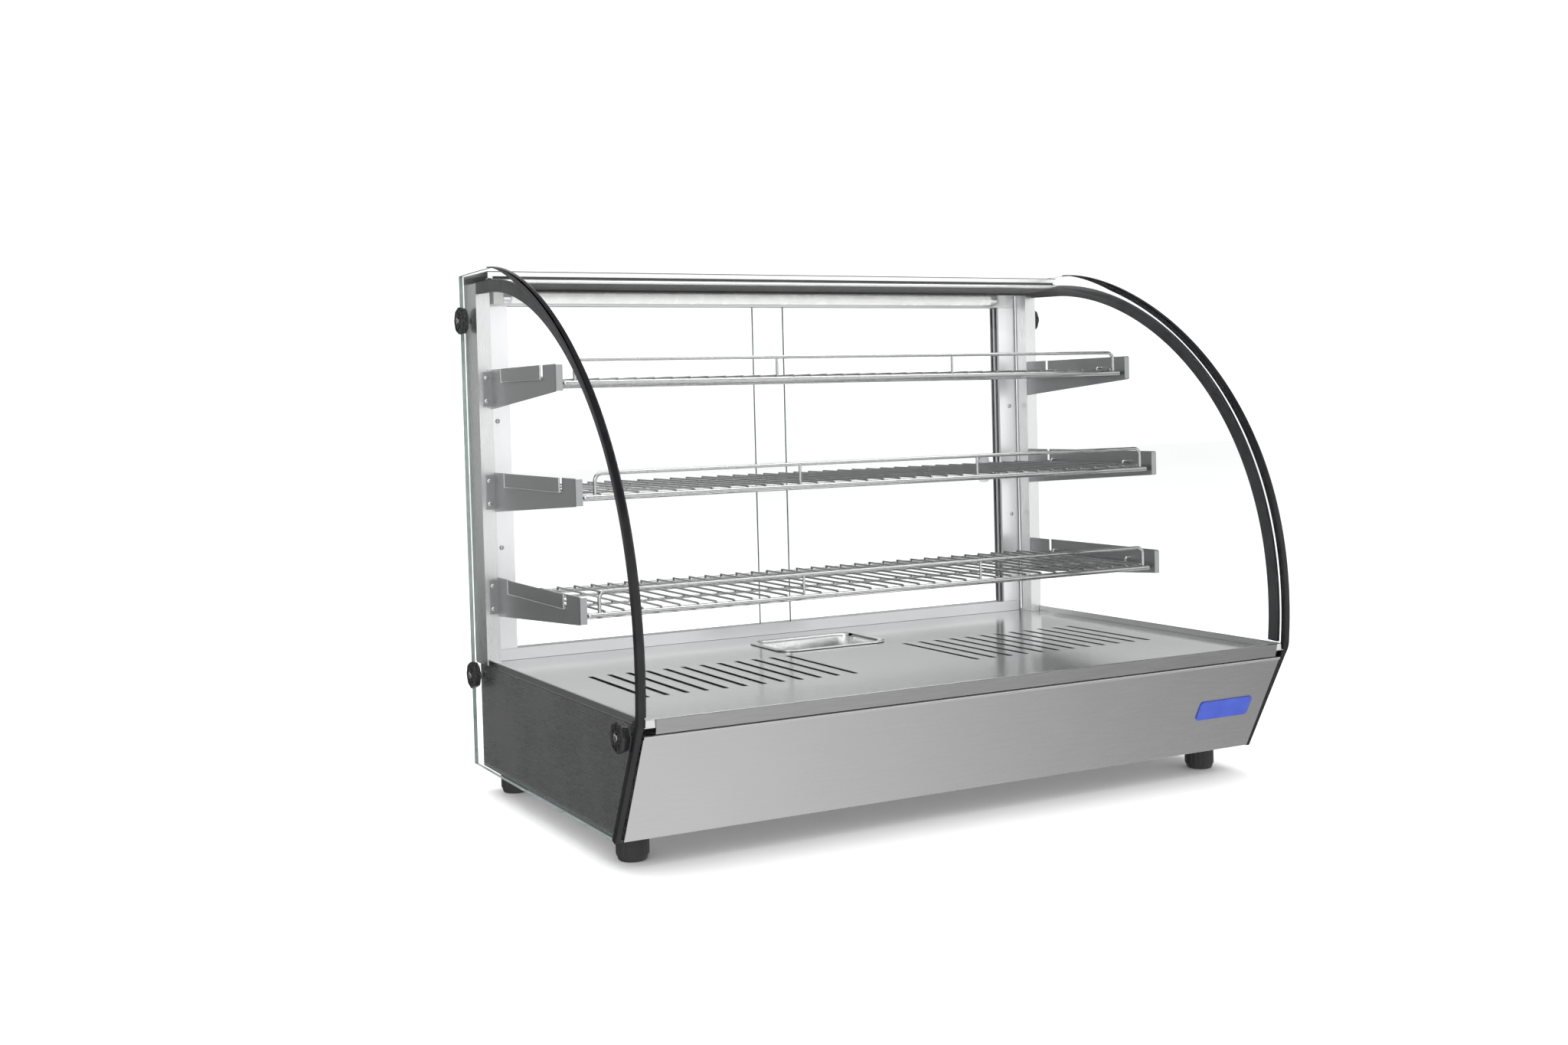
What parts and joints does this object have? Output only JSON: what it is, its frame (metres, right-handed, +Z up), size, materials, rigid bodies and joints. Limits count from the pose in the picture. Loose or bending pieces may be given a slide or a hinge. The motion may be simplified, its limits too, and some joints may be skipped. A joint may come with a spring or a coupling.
{
  "type": "hot food display case",
  "caption": "Countertop heated food display case with curved front glass, wire shelves on side brackets, slotted deck, water pan and rear sliding doors.",
  "frame": {"origin": "bottom centre of the case, on the surface its feet stand on", "axes": "+X along the width, towards the right-hand side glass seen from the customers' side; customers' curved glass faces -Y, sliding doors face +Y; +Z up"},
  "size_m": [1.025, 0.6289, 0.7555],
  "materials": {
    "stainless_steel": "bright satin sheet",
    "dull_steel": "dull satin sheet",
    "door_aluminium": "satin anodised extrusion",
    "wire_chrome": "plated wire",
    "black_trim": "black, slight sheen",
    "foot_rubber": "matt black",
    "clear_glass": "clear toughened glass",
    "lamp_fitting_white": "white gloss paint",
    "lamp_glass": "frosted white tube",
    "element_sheath": "heat-darkened metal sheath",
    "thermostat_plastic": "moulded grey",
    "rocker_plastic": "black gloss",
    "plate_enamel": "gloss blue enamel, blank",
    "pilot_lens": "amber-red lens"
  },
  "bodies": {
    "case": {"base_pan": "stainless_steel", "front_panel": "stainless_steel", "rear_panel": "stainless_steel", "deck": "stainless_steel", "wiring_bulkhead": "stainless_steel", "canopy": "stainless_steel", "canopy_lip": "stainless_steel", "name_plate": "plate_enamel", "corner_post_left": "stainless_steel", "base_side_left": "dull_steel", "door_jamb_left": "door_aluminium", "side_glass_left": "clear_glass", "edge_trim_left": "black_trim", "glass_rest_left": "black_trim", "heating_element_left": "element_sheath", "glass_clamp_rear_top_left": "black_trim", "glass_clamp_rear_low_left": "black_trim", "glass_clamp_front_low_left": "black_trim", "shelf_bracket_top_left": "dull_steel", "shelf_bracket_middle_left": "dull_steel", "shelf_bracket_bottom_left": "dull_steel", "foot_front_left": "foot_rubber", "foot_rear_left": "foot_rubber", "corner_post_right": "stainless_steel", "base_side_right": "dull_steel", "door_jamb_right": "door_aluminium", "side_glass_right": "clear_glass", "edge_trim_right": "black_trim", "glass_rest_right": "black_trim", "heating_element_right": "element_sheath", "glass_clamp_rear_top_right": "black_trim", "glass_clamp_rear_low_right": "black_trim", "glass_clamp_front_low_right": "black_trim", "shelf_bracket_top_right": "dull_steel", "shelf_bracket_middle_right": "dull_steel", "shelf_bracket_bottom_right": "dull_steel", "foot_front_right": "foot_rubber", "foot_rear_right": "foot_rubber", "front_ledge": "dull_steel", "front_glass": "clear_glass", "door_track_top": "door_aluminium", "door_track_bottom": "door_aluminium", "lamp_carrier": "lamp_fitting_white", "lamp_tube": "lamp_glass", "thermostat_body": "thermostat_plastic", "power_switch_housing": "black_trim", "light_switch_housing": "black_trim", "pilot_light": "pilot_lens", "cable_gland": "black_trim"},
    "door_left": {"door_left": "clear_glass", "door_pull_left": "door_aluminium"},
    "door_right": {"door_right": "clear_glass", "door_pull_right": "door_aluminium"},
    "shelf_top": {"wire_shelf_top": "wire_chrome"},
    "shelf_middle": {"wire_shelf_middle": "wire_chrome"},
    "shelf_bottom": {"wire_shelf_bottom": "wire_chrome"},
    "water_pan": {"water_pan": "stainless_steel"},
    "thermostat_dial": {"thermostat_dial": "black_trim"},
    "power_rocker": {"power_switch_rocker": "rocker_plastic"},
    "light_rocker": {"light_switch_rocker": "rocker_plastic"}
  },
  "joints": [
    {"name": "door_left_slide", "type": "slide", "parent": "case", "child": "door_left", "axis": [1, 0, 0], "range_m": [0, 0.43]},
    {"name": "door_right_slide", "type": "slide", "parent": "case", "child": "door_right", "axis": [1, 0, 0], "range_m": [-0.43, 0]},
    {"name": "shelf_top_lift", "type": "slide", "parent": "case", "child": "shelf_top", "axis": [0, 0, 1], "range_m": [0, 0.045]},
    {"name": "shelf_middle_lift", "type": "slide", "parent": "case", "child": "shelf_middle", "axis": [0, 0, 1], "range_m": [0, 0.045]},
    {"name": "shelf_bottom_lift", "type": "slide", "parent": "case", "child": "shelf_bottom", "axis": [0, 0, 1], "range_m": [0, 0.045]},
    {"name": "water_pan_lift", "type": "slide", "parent": "case", "child": "water_pan", "axis": [0, 0, 1], "range_m": [0, 0.08]},
    {"name": "thermostat_turn", "type": "hinge", "parent": "case", "child": "thermostat_dial", "pos_m": [0.33, 0.2972, 0.115], "axis": [0, -1, 0], "range_deg": [0, 270]},
    {"name": "power_rocker_tip", "type": "hinge", "parent": "case", "child": "power_rocker", "pos_m": [0.21, 0.295, 0.115], "axis": [1, 0, 0], "range_deg": [-18, 0]},
    {"name": "light_rocker_tip", "type": "hinge", "parent": "case", "child": "light_rocker", "pos_m": [0.145, 0.295, 0.115], "axis": [1, 0, 0], "range_deg": [-18, 0]}
  ]
}
